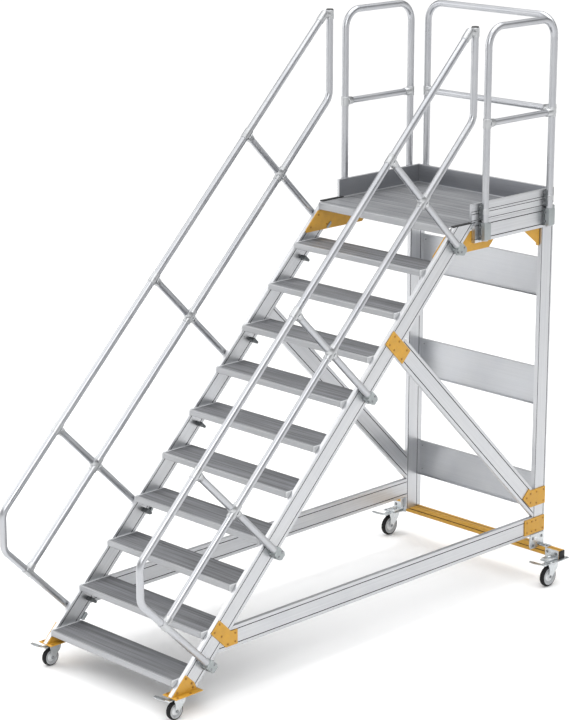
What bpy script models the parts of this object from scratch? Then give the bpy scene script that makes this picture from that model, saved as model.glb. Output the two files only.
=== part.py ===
"""Mobile ladder stand: ten-tread aluminium stair with a guarded platform on four swivel castors.

Metres, +Z up, +Y from the stair foot towards the platform, +X to the right of someone climbing.
The origin is on the floor under the middle of the bounding box.
"""
import math

import bmesh
import bpy
from mathutils import Vector

# Stair
RISE = 0.208
TREADS = 10
HALF_WIDTH = 0.497
SIDE_T = 0.025
OUTER = HALF_WIDTH + SIDE_T
GAP = 0.0003
LENGTH_MID = 1.376
TREAD_DEPTH = 0.218
TREAD_H = 0.034
STRINGER_FRONT = 0.029
SECTION_W = 0.120
STRINGER_REAR = STRINGER_FRONT + SECTION_W
STRINGER_FOOT = 0.1343
WALL = 0.0025

# Platform
DECK_Z = (TREADS + 1) * RISE
DECK_FRONT = TREADS * RISE
FRAME_FRONT = 2.275
FRAME_REAR = 2.973
FRAME_BOTTOM = 2.171
FRAME_TOP = FRAME_BOTTOM + SECTION_W
TOE_TOP = 2.396
TOE_FRONT = 2.262
TOE_WALL = 0.002
COLLAR_Z = (2.312, 2.366)
PLANK_SEAMS = (2.315, 2.526, 2.737)

# Tubes
TUBE_R = 0.020
BORE_R = 0.018
POST_R = TUBE_R - 0.0006
POST_BORE_R = BORE_R - 0.0015
HUB_R = 0.0245
HUB_HALF = 0.042
CLAMP_W = 0.052
RAIL_X = 0.552
GUARD_X = 0.545
GUARD_FRONT = 2.348
GUARD_REAR = 2.914
GUARD_BACK_Y = 2.996
GUARD_BACK_X = 0.482
GUARD_TOP = 3.376
KNEE_Z = 2.845
HOOP_R = 0.11
HAND_P = -0.695
MID_P = -0.320
STATIONS = (0.18, 0.88, 1.885, 2.895)
POST_FOOT_P = 0.165
FOOT_Y = -0.258
TOP_Y = 2.222
RAIL_END_Z = 3.392

# Rear frame
POST_FRONT = 2.882
POST_REAR = 2.982
LIP_REAR = 3.010
BEAM_Y = (2.955, 3.005)
BEAM_Z = (0.155, 0.205)
BEAM_HALF = 0.672
RAIL_Z = (0.286, 0.406)
BRACE_SUM = 3.3675
PANEL_Z = ((0.415, 0.638), (1.065, 1.299), (1.731, 1.962))
PANEL_REAR = 3.003
PLATE_T = 0.006

# Castors: x, wheel y, wheel radius, swivel offset, head underside z
FRONT_CASTOR = (0.507, 0.002, 0.050, 0.034, 0.1215)
REAR_CASTOR = (0.645, 2.884, 0.0625, 0.042, 0.1485)
WHEEL_HALF = 0.016
AXLE_R = 0.006
HUB_BORE_R = 0.0068
FORK_T = 0.003
PEDAL_HINGE = (0.010, -0.030, -0.010)  # from the wheel's x and y and the head's underside

C45 = math.sqrt(0.5)
SIDES = (("left", -1), ("right", 1))
X_AXIS = Vector((1, 0, 0))
Y_AXIS = Vector((0, 1, 0))
Z_AXIS = Vector((0, 0, 1))
DOWN = Vector((0, C45, -C45))

# Turns that send an outline's x, y and thickness along other axes
FLAT = (0, 0, 0)
FACING_SIDE = (math.pi / 2, 0, math.pi / 2)  # to Y, Z and X
FACING_FRONT = (math.pi / 2, 0, 0)  # to X, Z and -Y
UP_SLOPE = (-math.pi / 4, 0, 0)
DOWN_SLOPE = (-3 * math.pi / 4, 0, 0)

for old in list(bpy.data.objects):
    bpy.data.objects.remove(old, do_unlink=True)

STAND = bpy.data.collections.new("mobile_ladder_stand")
TOOLS = bpy.data.collections.new("cutting_tools")
bpy.context.scene.collection.children.link(STAND)
bpy.context.scene.collection.children.link(TOOLS)

LOOKS = {
    "alu": ((0.72, 0.73, 0.75), 1.0, 0.38),
    "tread": ((0.42, 0.43, 0.44), 0.8, 0.5),
    "ochre": ((0.62, 0.33, 0.05), 0.0, 0.4),
    "zinc": ((0.62, 0.64, 0.66), 1.0, 0.35),
    "tyre": ((0.02, 0.02, 0.02), 0.0, 0.7),
}


def material(name, colour, metallic, roughness):
    mat = bpy.data.materials.new(name)
    mat.use_nodes = True
    shader = mat.node_tree.nodes["Principled BSDF"]
    shader.inputs["Base Color"].default_value = (*colour, 1)
    shader.inputs["Metallic"].default_value = metallic
    shader.inputs["Roughness"].default_value = roughness
    return mat


def at(x, y, z):
    """Point whose y is measured from the lowest tread's nose."""
    return Vector((x, y - LENGTH_MID, z))


def slope_yz(along, perp):
    """(y, z) at a distance up the nosing line and a distance behind it."""
    return (along + perp) * C45, (along - perp) * C45 + RISE


def on_slope(x, along, perp):
    return at(x, *slope_yz(along, perp))


def side_range(sign, near, far):
    return tuple(sorted((sign * near, sign * far)))


def middle(span):
    return (span[0] + span[1]) / 2


def add(name, mesh, look, place, turn=FLAT, tool=False):
    obj = bpy.data.objects.new(name, mesh)
    obj.location = place
    obj.rotation_euler = turn
    mesh.materials.clear()
    mesh.materials.append(material(name, *LOOKS[look]))
    (TOOLS if tool else STAND).objects.link(obj)
    if tool:
        obj.hide_render = True
        obj.display_type = "WIRE"
    return obj


def mesh_from(name, bm):
    mesh = bpy.data.meshes.new(name)
    bm.to_mesh(mesh)
    bm.free()
    return mesh


def curve_mesh(name, curve):
    """A curve's surface as a closed mesh, its loose caps welded on."""
    carrier = bpy.data.objects.new(name + "_curve", curve)
    STAND.objects.link(carrier)
    graph = bpy.context.evaluated_depsgraph_get()
    mesh = bpy.data.meshes.new_from_object(carrier.evaluated_get(graph))
    mesh.name = name
    bpy.data.objects.remove(carrier, do_unlink=True)
    bm = bmesh.new()
    bm.from_mesh(mesh)
    bmesh.ops.remove_doubles(bm, verts=bm.verts, dist=1e-6)
    bmesh.ops.recalc_face_normals(bm, faces=bm.faces)
    bm.to_mesh(mesh)
    bm.free()
    return mesh


def combine(obj, tool, operation):
    mod = obj.modifiers.new(operation.lower(), "BOOLEAN")
    mod.operation = operation
    mod.solver = "EXACT"
    mod.object = tool
    return obj


def box(name, x, y, z, look, tool=False, origin=None):
    """Block between three pairs of limits, its origin at its middle unless one is given."""
    centre = at(middle(x), middle(y), middle(z))
    place = centre if origin is None else origin
    bm = bmesh.new()
    bmesh.ops.create_cube(bm, size=1)
    bmesh.ops.scale(bm, verts=bm.verts, vec=(x[1] - x[0], y[1] - y[0], z[1] - z[0]))
    bmesh.ops.translate(bm, verts=bm.verts, vec=centre - place)
    return add(name, mesh_from(name, bm), look, place, tool=tool)


def cylinder(name, radius, depth, look, place, turn=FLAT, tool=False, sides=24):
    bm = bmesh.new()
    bmesh.ops.create_cone(bm, cap_ends=True, segments=sides, radius1=radius, radius2=radius, depth=depth)
    mesh = mesh_from(name, bm)
    mesh.shade_smooth()
    mesh.set_sharp_from_angle(angle=math.radians(40))
    return add(name, mesh, look, place, turn, tool)


def flat(name, outlines, thickness, look, place, turn, tool=False):
    """Flat outlines, of which the ones inside another are holes, given a thickness about place."""
    curve = bpy.data.curves.new(name, "CURVE")
    curve.dimensions = "2D"
    curve.fill_mode = "BOTH"
    curve.extrude = thickness / 2
    for outline in outlines:
        spline = curve.splines.new("POLY")
        spline.points.add(len(outline) - 1)
        for point, (u, v) in zip(spline.points, outline):
            point.co = (u, v, 0, 1)
        spline.use_cyclic_u = True
    return add(name, curve_mesh(name, curve), look, place, turn, tool)


def plate(name, outline, x, look, tool=False):
    """Outline of (y, z) corners, standing between two x."""
    return flat(name, [outline], x[1] - x[0], look, at(middle(x), 0, 0), FACING_SIDE, tool)


def hollow(width, height, wall):
    """Outer and inner outline of a rectangular tube."""
    corners = ((-1, -1), (1, -1), (1, 1), (-1, 1))
    return [[(u * (width / 2 - inset), v * (height / 2 - inset)) for u, v in corners] for inset in (0, wall)]


def cut_off(obj, point, normal):
    """Remove what lies past a plane and close the cut, hollow or not."""
    to_local = obj.matrix_basis.inverted()
    bm = bmesh.new()
    bm.from_mesh(obj.data)
    bmesh.ops.bisect_plane(
        bm, geom=[*bm.verts, *bm.edges, *bm.faces], dist=1e-6, clear_outer=True,
        plane_co=to_local @ point, plane_no=to_local.to_3x3() @ normal)
    rim = [edge for edge in bm.edges if edge.is_boundary]
    bmesh.ops.triangle_fill(bm, edges=rim, use_beauty=True)
    bmesh.ops.recalc_face_normals(bm, faces=bm.faces)
    bm.to_mesh(obj.data)
    bm.free()
    return obj


def rounded_path(points, radius, steps=4):
    path = [points[0]]
    for before, corner, after in zip(points, points[1:], points[2:]):
        a = (before - corner).normalized()
        b = (after - corner).normalized()
        half = a.angle(b) / 2
        reach = radius / math.tan(half)
        centre = corner + (a + b).normalized() * (radius / math.sin(half))
        start = (corner + a * reach - centre).normalized()
        end = (corner + b * reach - centre).normalized()
        for i in range(steps + 1):
            path.append(centre + start.slerp(end, i / steps) * radius)
    path.append(points[-1])
    return path


def bar(name, path, radius, look, tool=False, sides=12, side_dir=X_AXIS):
    """Round bar along a path square to side_dir, its rings widened in the bends to keep their radius."""
    bm = bmesh.new()
    rings = []
    for i, point in enumerate(path):
        ahead = path[min(i + 1, len(path) - 1)] - point
        behind = point - path[max(i - 1, 0)]
        ahead = ahead if ahead.length > 1e-9 else behind
        behind = behind if behind.length > 1e-9 else ahead
        tangent = (ahead.normalized() + behind.normalized()).normalized()
        up = side_dir.cross(tangent) / max(0.5, tangent.dot(ahead.normalized()))
        turns = [2 * math.pi * k / sides for k in range(sides)]
        rings.append([bm.verts.new(
            point + (side_dir * math.cos(turn) + up * math.sin(turn)) * radius) for turn in turns])
    for a, b in zip(rings, rings[1:]):
        for k in range(sides):
            j = (k + 1) % sides
            bm.faces.new((a[k], a[j], b[j], b[k]))
    bm.faces.new(rings[0])
    bm.faces.new(rings[-1])
    bmesh.ops.recalc_face_normals(bm, faces=bm.faces)
    mesh = mesh_from(name, bm)
    mesh.shade_smooth()
    mesh.set_sharp_from_angle(angle=math.radians(40))
    return add(name, mesh, look, (0, 0, 0), tool=tool)


def extended(path, amount):
    first = path[0] + (path[0] - path[1]).normalized() * amount
    last = path[-1] + (path[-1] - path[-2]).normalized() * amount
    return [first, *path[1:-1], last]


def tube(name, path, side_dir=X_AXIS):
    """The tube and the cutter for its bore, which is used once everything is joined to the tube."""
    bore = bar(name + "_bore", extended(path, 0.004), BORE_R, "alu", tool=True, side_dir=side_dir)
    return bar(name, path, TUBE_R, "alu", side_dir=side_dir), bore


def turned(name, profile, look, place, steps=24):
    """Closed profile of (x, radius) turned about the X axis through place."""
    bm = bmesh.new()
    ring = [bm.verts.new((x, 0, radius)) for x, radius in profile]
    for a, b in zip(ring, ring[1:] + ring[:1]):
        bm.edges.new((a, b))
    obj = add(name, mesh_from(name, bm), look, place)
    screw = obj.modifiers.new("turn", "SCREW")
    screw.axis = "X"
    screw.steps = steps
    screw.render_steps = steps
    screw.merge_threshold = 1e-5
    screw.use_smooth_shade = True
    return obj


def hang(piece, carrier):
    """Parent a piece to the one that carries it, without moving it."""
    piece.parent = carrier
    piece.location = piece.location - carrier.location


def stringer(tag, sign):
    x = side_range(sign, HALF_WIDTH, OUTER)
    perp = (STRINGER_FRONT + STRINGER_REAR) / 2
    length = 3.5
    centre = on_slope(middle(x), 1.55, perp)
    bar_obj = flat("stringer_" + tag, hollow(SIDE_T, SECTION_W, WALL), length, "alu", centre, UP_SLOPE)
    cut_off(bar_obj, Vector((0, 0, STRINGER_FOOT)), -Z_AXIS)
    cut_off(bar_obj, Vector((0, 0, DECK_Z)), Z_AXIS)


def tread(index):
    """C section, open side down, with the nose at its origin."""
    chamfer = 0.004
    wall = 0.0035
    lip = 0.022
    low = -TREAD_H
    outline = [
        (0, -chamfer), (chamfer, 0), (TREAD_DEPTH, 0), (TREAD_DEPTH, low), (TREAD_DEPTH - lip, low),
        (TREAD_DEPTH - lip, low + wall), (TREAD_DEPTH - wall, low + wall), (TREAD_DEPTH - wall, -wall),
        (wall, -wall), (wall, low + wall), (lip, low + wall), (lip, low), (chamfer, low), (0, low + chamfer)]
    place = at(0, index * RISE, (index + 1) * RISE)
    flat("tread_%02d" % (index + 1), [outline], 2 * (HALF_WIDTH - GAP), "tread", place, FACING_SIDE)


def deck():
    skin = 0.004
    rib = 0.003
    low = DECK_Z - 0.030
    rear = FRAME_REAR - SIDE_T - GAP
    nose_low = DECK_Z - 0.043
    outline = [(DECK_FRONT, DECK_Z - 0.005), (DECK_FRONT + 0.005, DECK_Z), (rear, DECK_Z), (rear, low),
               (rear - rib, low), (rear - rib, DECK_Z - skin)]
    for seam in reversed(PLANK_SEAMS):
        outline += [(seam + rib, DECK_Z - skin), (seam + rib, low), (seam - rib, low),
                    (seam - rib, DECK_Z - skin)]
    outline += [(DECK_FRONT + rib, DECK_Z - skin), (DECK_FRONT + rib, nose_low + rib),
                (DECK_FRONT + 0.03, nose_low + rib), (DECK_FRONT + 0.03, nose_low),
                (DECK_FRONT + 0.004, nose_low), (DECK_FRONT, nose_low + 0.004)]
    half = HALF_WIDTH - GAP
    plate("deck", outline, (-half, half), "tread")


def long_bar(name, x, y, z, wall):
    """Rectangular tube that runs along Y."""
    section = hollow(x[1] - x[0], z[1] - z[0], wall)
    return flat(name, section, y[1] - y[0], "alu", at(middle(x), middle(y), middle(z)), FACING_FRONT)


def cross_bar(name, x, y, z, wall, look="alu"):
    """Rectangular tube that runs along X."""
    section = hollow(y[1] - y[0], z[1] - z[0], wall)
    return flat(name, section, x[1] - x[0], look, at(middle(x), middle(y), middle(z)), FACING_SIDE)


def side_frame(tag, sign):
    x = side_range(sign, HALF_WIDTH, OUTER)
    frame = long_bar("side_frame_" + tag, x, (FRAME_FRONT, FRAME_REAR), (FRAME_BOTTOM, FRAME_TOP), WALL)
    edge = RISE - STRINGER_REAR / C45 - 2 * GAP
    notch = [(2.26, 2.26 + edge), (2.31, 2.31 + edge), (2.26, 2.31 + edge)]
    cutter = plate("frame_notch_" + tag, notch, (x[0] - 0.01, x[1] + 0.01), "alu", tool=True)
    combine(frame, cutter, "DIFFERENCE")


def rear_frame():
    half = HALF_WIDTH - GAP
    cross_bar("rear_frame", (-half, half), (FRAME_REAR - SIDE_T, FRAME_REAR), (FRAME_BOTTOM, FRAME_TOP), WALL)


def toe_boards():
    z = (FRAME_TOP + GAP, TOE_TOP)
    near = HALF_WIDTH + 0.001
    for tag, sign in SIDES:
        long_bar("toe_board_" + tag, side_range(sign, near, OUTER), (TOE_FRONT, FRAME_REAR), z, TOE_WALL)
    half = near - GAP
    cross_bar("toe_board_rear", (-half, half), (FRAME_REAR - SIDE_T, FRAME_REAR), z, TOE_WALL)


def guard_rail(name, ends, clamps, side_dir):
    """Hoop from the frame's side up and over, with a clamp on the frame and a collar on the toe board."""
    low = FRAME_BOTTOM + 0.014
    points = [at(*ends[0], low), at(*ends[0], GUARD_TOP), at(*ends[1], GUARD_TOP), at(*ends[1], low)]
    hoop, bore = tube(name, rounded_path(points, HOOP_R), side_dir)
    heights = (("clamp", (FRAME_BOTTOM + 0.018, FRAME_TOP - 0.006)), ("collar", COLLAR_Z))
    for i, (x, y) in enumerate(clamps):
        for part, z in heights:
            combine(hoop, box("%s_%s_%d" % (name, part, i), x, y, z, "zinc", tool=True), "UNION")
    combine(hoop, bore, "DIFFERENCE")


def knee_rail(name, start, end, side_dir):
    rail, bore = tube(name, [at(*start, KNEE_Z), at(*end, KNEE_Z)], side_dir)
    combine(rail, bore, "DIFFERENCE")


def guard_rails():
    reach = TUBE_R + GAP
    half = CLAMP_W / 2
    for tag, sign in SIDES:
        x = sign * GUARD_X
        span = side_range(sign, OUTER + GAP, GUARD_X + 0.027)
        clamps = [(span, (y - half, y + half)) for y in (GUARD_FRONT, GUARD_REAR)]
        guard_rail("guard_rail_" + tag, ((x, GUARD_FRONT), (x, GUARD_REAR)), clamps, X_AXIS)
        knee_rail("knee_rail_" + tag, (x, GUARD_FRONT + reach), (x, GUARD_REAR - reach), X_AXIS)
    y_span = (FRAME_REAR + GAP, GUARD_BACK_Y + 0.020)
    x = GUARD_BACK_X
    clamps = [((v - half, v + half), y_span) for v in (-x, x)]
    guard_rail("guard_rail_rear", ((-x, GUARD_BACK_Y), (x, GUARD_BACK_Y)), clamps, Y_AXIS)
    knee_rail("knee_rail_rear", (-x + reach, GUARD_BACK_Y), (x - reach, GUARD_BACK_Y), Y_AXIS)


def clamp_block(name, sign, along):
    """Block that holds a tube against the stringer, with its rear corners cut."""
    low = (-0.030, 0.030)
    outline = [slope_yz(along + a, p) for a, p in (
        (low[0], 0.030), (low[1], 0.030), (low[1], 0.146), (0.018, 0.160), (-0.018, 0.160), (low[0], 0.146))]
    return plate(name, outline, side_range(sign, OUTER + GAP, RAIL_X + 0.022), "zinc", tool=True)


def meeting(perp, y):
    """Height at which a line parallel to the nosing line, perp from it, stands over y."""
    return y - 2 * perp * C45 + RISE


def handrail(tag, sign):
    name = "handrail_" + tag
    x = sign * RAIL_X
    foot = on_slope(x, STATIONS[0], POST_FOOT_P)
    low_z = 2 * STATIONS[0] * C45 - FOOT_Y + RISE
    end_y = TOP_Y - TUBE_R * (1 + C45) - GAP
    points = [foot, at(x, FOOT_Y, low_z), at(x, FOOT_Y, meeting(HAND_P, FOOT_Y)),
              at(x, end_y, meeting(HAND_P, end_y))]
    rail, bore = tube(name, rounded_path(points, 0.085))
    combine(rail, clamp_block(name + "_clamp", sign, STATIONS[0]), "UNION")
    combine(rail, bore, "DIFFERENCE")


def mid_rail(tag, sign):
    """Mid rail with the three stanchions that cross it, and the post it turns up into."""
    name = "mid_rail_" + tag
    x = sign * RAIL_X
    points = [on_slope(x, STATIONS[0] + TUBE_R + GAP, MID_P), at(x, TOP_Y, meeting(MID_P, TOP_Y)),
              at(x, TOP_Y, RAIL_END_Z)]
    rail, bore = tube(name, rounded_path(points, 0.10))
    bores = [bore]
    for i, along in enumerate(STATIONS[1:]):
        post = [on_slope(x, along, POST_FOOT_P), on_slope(x, along, HAND_P + TUBE_R + GAP)]
        hub = [on_slope(x, along, MID_P + reach) for reach in (-HUB_HALF, HUB_HALF)]
        joined = (
            bar("%s_post_%d" % (name, i), post, POST_R, "alu", tool=True),
            bar("%s_cross_%d" % (name, i), hub, HUB_R, "zinc", tool=True, sides=8),
            clamp_block("%s_clamp_%d" % (name, i), sign, along))
        for piece in joined:
            combine(rail, piece, "UNION")
        bores.append(bar("%s_post_bore_%d" % (name, i), extended(post, 0.004), POST_BORE_R, "alu", tool=True))
    for item in bores:
        combine(rail, item, "DIFFERENCE")


def rear_post(tag, sign):
    """Post with the lip behind it, the two plates on its side and the knee bracket at its top."""
    name = "rear_post_" + tag
    near = sign * HALF_WIDTH
    far = sign * OUTER
    lip = sign * (HALF_WIDTH + 0.006)
    outer = [(near, POST_FRONT), (far, POST_FRONT), (far, POST_REAR), (lip, POST_REAR), (lip, LIP_REAR),
             (near, LIP_REAR)]
    a = near + sign * WALL
    b = far - sign * WALL
    bore = [(a, POST_FRONT + WALL), (b, POST_FRONT + WALL), (b, POST_REAR - WALL), (a, POST_REAR - WALL)]
    z = (BEAM_Z[1] + GAP, FRAME_BOTTOM - GAP)
    post = flat(name, [outer, bore], z[1] - z[0], "alu", at(0, 0, middle(z)), FLAT)

    x = side_range(sign, OUTER + GAP, OUTER + GAP + PLATE_T)
    upper = [(2.777, 0.541), (2.844, 0.474), (POST_REAR, 0.474), (POST_REAR, 0.580), (2.845, 0.580),
             (2.831, 0.594)]
    lower = [(2.800, 0.302), (POST_REAR, 0.302), (POST_REAR, 0.400), (2.800, 0.400)]
    pad = side_range(sign, OUTER - 0.001, OUTER + 0.002)
    plates = (("brace_plate", upper, (0.490, 0.560)), ("rail_plate", lower, (0.320, 0.380)))
    for part, outline, pad_z in plates:
        combine(post, plate("%s_%s" % (name, part), outline, x, "ochre", tool=True), "UNION")
        spacer = box("%s_%s_pad" % (name, part), pad, (2.90, 2.96), pad_z, "ochre", tool=True)
        combine(post, spacer, "UNION")
    corner = POST_FRONT + 0.001
    web_top = z[1] - 0.001
    web = [(2.742, web_top), (corner, 2.064), (corner, web_top)]
    web_x = side_range(sign, HALF_WIDTH + 0.006, HALF_WIDTH + 0.012)
    combine(post, plate(name + "_knee", web, web_x, "ochre", tool=True), "UNION")


def cross_panel(tag, z):
    """Sheet with its top and bottom edges folded forward."""
    sheet = 0.002
    front = POST_REAR + 0.001
    back = PANEL_REAR
    outline = [(front, z[0]), (back, z[0]), (back, z[1]), (front, z[1]), (front, z[1] - sheet),
               (back - sheet, z[1] - sheet), (back - sheet, z[0] + sheet), (front, z[0] + sheet)]
    half = HALF_WIDTH - GAP
    plate("cross_panel_" + tag, outline, (-half, half), "alu")


def brace(tag, sign):
    """Diagonal from the stringer down to the post, notched over the bottom rail."""
    x = side_range(sign, HALF_WIDTH, OUTER)
    along = (BRACE_SUM - RISE) * C45
    centre = on_slope(middle(x), along, 1.0)
    bar_obj = flat("brace_" + tag, hollow(SIDE_T, SECTION_W, WALL), 2.6, "alu", centre, DOWN_SLOPE)
    cut_off(bar_obj, on_slope(0, 0, STRINGER_REAR + GAP), -DOWN)
    cut_off(bar_obj, at(0, POST_FRONT - GAP, 0), Y_AXIS)
    notch_x = (x[0] - 0.01, x[1] + 0.01)
    notch = box("brace_notch_" + tag, notch_x, (2.80, 2.90), (0.38, RAIL_Z[1] + GAP), "alu", tool=True)
    combine(bar_obj, notch, "DIFFERENCE")


def bottom_rail(tag, sign):
    x = side_range(sign, HALF_WIDTH, OUTER)
    rail = long_bar("bottom_rail_" + tag, x, (0.2, POST_FRONT - GAP), RAIL_Z, WALL)
    cut_off(rail, on_slope(0, 0, STRINGER_REAR + GAP), -DOWN)


def gussets(tag, sign):
    x = side_range(sign, OUTER + GAP, OUTER + GAP + PLATE_T)
    corners = ((2.175, 0.030), (2.175, 0.226), (2.267, 0.226), (2.267, 0.030))
    plate("brace_gusset_" + tag, [slope_yz(*corner) for corner in corners], x, "ochre")
    outline = [slope_yz(along, 0.030) for along in (0.3165, 0.402)]
    outline += [(0.3915, 0.385), (0.438, 0.385), (0.438, 0.303), (0.3526, 0.303)]
    plate("rail_gusset_" + tag, outline, x, "ochre")


def top_bracket(tag, sign):
    x = side_range(sign, HALF_WIDTH - GAP - PLATE_T, HALF_WIDTH - GAP)
    outline = [(1.968, 2.122), (2.445, 2.122), (2.495, 2.172), (2.495, 2.240), (2.062, 2.240), (1.964, 2.142)]
    plate("top_bracket_" + tag, outline, x, "ochre")


def outrigger_beam():
    beam = cross_bar("outrigger_beam", (-BEAM_HALF, BEAM_HALF), BEAM_Y, BEAM_Z, 0.003, look="ochre")
    for tag, sign in SIDES:
        angle = side_range(sign, OUTER + GAP, OUTER + GAP + 0.005)
        foot = side_range(sign, OUTER + 0.002, OUTER + 0.050)
        front = side_range(sign, 0.566, 0.667)
        under = side_range(sign, 0.590, 0.690)
        pieces = (
            ("angle", angle, (2.858, 2.982), (BEAM_Z[1] - 0.001, 0.296)),
            ("angle_foot", foot, (2.957, 3.003), (BEAM_Z[1] - 0.001, BEAM_Z[1] + 0.005)),
            ("castor_face", front, (BEAM_Y[0] - 0.005, BEAM_Y[0] + 0.001), (0.1495, BEAM_Z[1] + 0.002)),
            ("castor_plate", under, (2.874, 3.030), (0.1490, BEAM_Z[0] + 0.001)))
        for part, x, y, z in pieces:
            combine(beam, box("beam_%s_%s" % (part, tag), x, y, z, "zinc", tool=True), "UNION")


def front_foot(tag, sign):
    """Base plate with a cheek on each side of the stringer, and the castor's plate under it."""
    name = "front_foot_" + tag
    base = box(name, side_range(sign, 0.455, 0.560), (-0.033, 0.157), (0.128, 0.134), "ochre")
    cheek = [(-0.030, 0.131), (0.0665, 0.2335), (0.127, 0.174), (0.143, 0.131)]
    inner = [(-0.030, 0.131), (0.000, 0.165), (0.110, 0.165), (0.143, 0.131)]
    cheek_x = side_range(sign, OUTER + GAP, OUTER + GAP + PLATE_T)
    inner_x = side_range(sign, HALF_WIDTH - GAP - PLATE_T, HALF_WIDTH - GAP)
    x, wheel_y, radius, offset, head = FRONT_CASTOR
    y = wheel_y + offset
    plate_x = side_range(sign, x - 0.042, x + 0.042)
    pieces = (
        plate(name + "_cheek", cheek, cheek_x, "ochre", tool=True),
        plate(name + "_tab", inner, inner_x, "ochre", tool=True),
        box(name + "_plate", plate_x, (y - 0.052, y + 0.052), (head + GAP, 0.1285), "zinc", tool=True))
    for piece in pieces:
        combine(base, piece, "UNION")


def wheel(tag, radius, centre):
    """Tyre and hub in one turned ring, hollowed on both sides."""
    side = [(WHEEL_HALF, 0.016), (0.010, 0.018), (0.010, radius * 0.70), (0.0145, radius * 0.74),
            (0.0150, radius * 0.90), (0.0105, radius * 0.98), (0.004, radius)]
    other = [(-x, r) for x, r in reversed(side)]
    bore = [(-WHEEL_HALF, HUB_BORE_R), (WHEEL_HALF, HUB_BORE_R)]
    return turned("wheel_" + tag, bore + side + other, "tyre", centre)


def fork(tag, sign, spec):
    """Swivel head with two legs and the axle; its origin is on the swivel axis."""
    x, wheel_y, radius, offset, head = spec
    name = "fork_" + tag
    head_t = 0.0035
    swivel = at(sign * x, wheel_y + offset, head - head_t / 2)
    piece = cylinder(name, 0.030, head_t, "zinc", swivel)
    leg_x = WHEEL_HALF + 0.0035
    top_z = head - 0.002
    rear_y = wheel_y + offset + 0.026
    outline = [(wheel_y - 0.010, radius - 0.010), (wheel_y + 0.010, radius - 0.010), (rear_y, top_z - 0.020),
               (rear_y, top_z), (wheel_y - 0.016, top_z), (wheel_y - 0.016, top_z - 0.014),
               (wheel_y - 0.012, radius + 0.008)]
    for side in (-1, 1):
        span = side_range(side, leg_x, leg_x + FORK_T)
        span = tuple(sign * x + v for v in span)
        combine(piece, plate("%s_leg%+d" % (name, side), outline, span, "zinc", tool=True), "UNION")
    crown = (sign * x - leg_x - FORK_T / 2, sign * x + leg_x + FORK_T / 2)
    crown_y = (wheel_y - 0.015, rear_y - 0.001)
    bridge = box(name + "_crown", crown, crown_y, (top_z - 0.004, top_z - 0.0005), "zinc", tool=True)
    combine(piece, bridge, "UNION")
    axle_turn = (0, math.pi / 2, 0)
    centre = at(sign * x, wheel_y, radius)
    axle = cylinder(name + "_axle", AXLE_R, 0.049, "zinc", centre, axle_turn, tool=True, sides=12)
    return combine(piece, axle, "UNION")


def pedal(tag, sign, spec):
    """Brake lever; its origin is on the hinge."""
    x, wheel_y, radius, offset, head = spec
    hinge = at(sign * x + PEDAL_HINGE[0], wheel_y + PEDAL_HINGE[1], head + PEDAL_HINGE[2])
    top_z = head - 0.002
    y = (wheel_y - 0.062, wheel_y - 0.0164)
    block = (sign * x - 0.024, sign * x + 0.012)
    block_z = (top_z - 0.012, top_z - 0.004)
    piece = box("pedal_" + tag, block, (y[0] + 0.016, y[1]), block_z, "zinc", origin=hinge)
    reach = (sign * x - 0.102, sign * x - 0.018)
    arm_z = (top_z - 0.0095, top_z - 0.0065)
    arm = box("pedal_%s_arm" % tag, reach, (y[0], y[0] + 0.034), arm_z, "zinc", tool=True)
    return combine(piece, arm, "UNION")


def castor(tag, sign, spec):
    carrier = fork(tag, sign, spec)
    hang(wheel(tag, spec[2], at(sign * spec[0], spec[1], spec[2])), carrier)
    hang(pedal(tag, sign, spec), carrier)


for i in range(TREADS):
    tread(i)
deck()
rear_frame()
toe_boards()
guard_rails()
for panel, heights in zip(("lower", "middle", "upper"), PANEL_Z):
    cross_panel(panel, heights)
outrigger_beam()
for side_tag, side_sign in SIDES:
    stringer(side_tag, side_sign)
    side_frame(side_tag, side_sign)
    handrail(side_tag, side_sign)
    mid_rail(side_tag, side_sign)
    rear_post(side_tag, side_sign)
    brace(side_tag, side_sign)
    bottom_rail(side_tag, side_sign)
    gussets(side_tag, side_sign)
    top_bracket(side_tag, side_sign)
    front_foot(side_tag, side_sign)
    castor("front_" + side_tag, side_sign, FRONT_CASTOR)
    castor("rear_" + side_tag, side_sign, REAR_CASTOR)
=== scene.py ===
"""Looks of the mobile ladder stand: extrusions, ribbed treads, tubes, fittings, clamps and castors."""
import math

import bmesh
import bpy
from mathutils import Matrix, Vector


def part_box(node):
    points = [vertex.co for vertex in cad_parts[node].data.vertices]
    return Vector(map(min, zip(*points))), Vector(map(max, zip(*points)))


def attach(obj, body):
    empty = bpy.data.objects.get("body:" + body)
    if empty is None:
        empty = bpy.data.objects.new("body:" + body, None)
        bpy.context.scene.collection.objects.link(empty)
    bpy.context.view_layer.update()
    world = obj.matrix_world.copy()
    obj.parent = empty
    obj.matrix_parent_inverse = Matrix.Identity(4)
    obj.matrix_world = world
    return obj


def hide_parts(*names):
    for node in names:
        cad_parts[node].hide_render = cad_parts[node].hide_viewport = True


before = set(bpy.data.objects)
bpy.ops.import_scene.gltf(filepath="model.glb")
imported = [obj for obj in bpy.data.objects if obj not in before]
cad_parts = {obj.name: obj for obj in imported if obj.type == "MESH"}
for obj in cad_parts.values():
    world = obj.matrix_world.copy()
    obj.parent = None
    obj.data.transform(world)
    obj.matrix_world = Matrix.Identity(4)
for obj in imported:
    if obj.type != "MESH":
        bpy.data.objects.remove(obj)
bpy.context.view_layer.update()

# Sizes shared with the solids, in metres. y is counted from the lowest nosing, and at() takes MID off it.
MID = 1.376
RISE = 0.208
GAP = 0.0003  # clearance between pieces that touch
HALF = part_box("stringer_right")[0].x  # inner face of the right stringer
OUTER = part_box("stringer_right")[1].x  # its outer face
DECK_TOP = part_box("deck")[1].z
FRAME_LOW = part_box("side_frame_right")[0].z
FRAME_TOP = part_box("side_frame_right")[1].z
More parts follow.
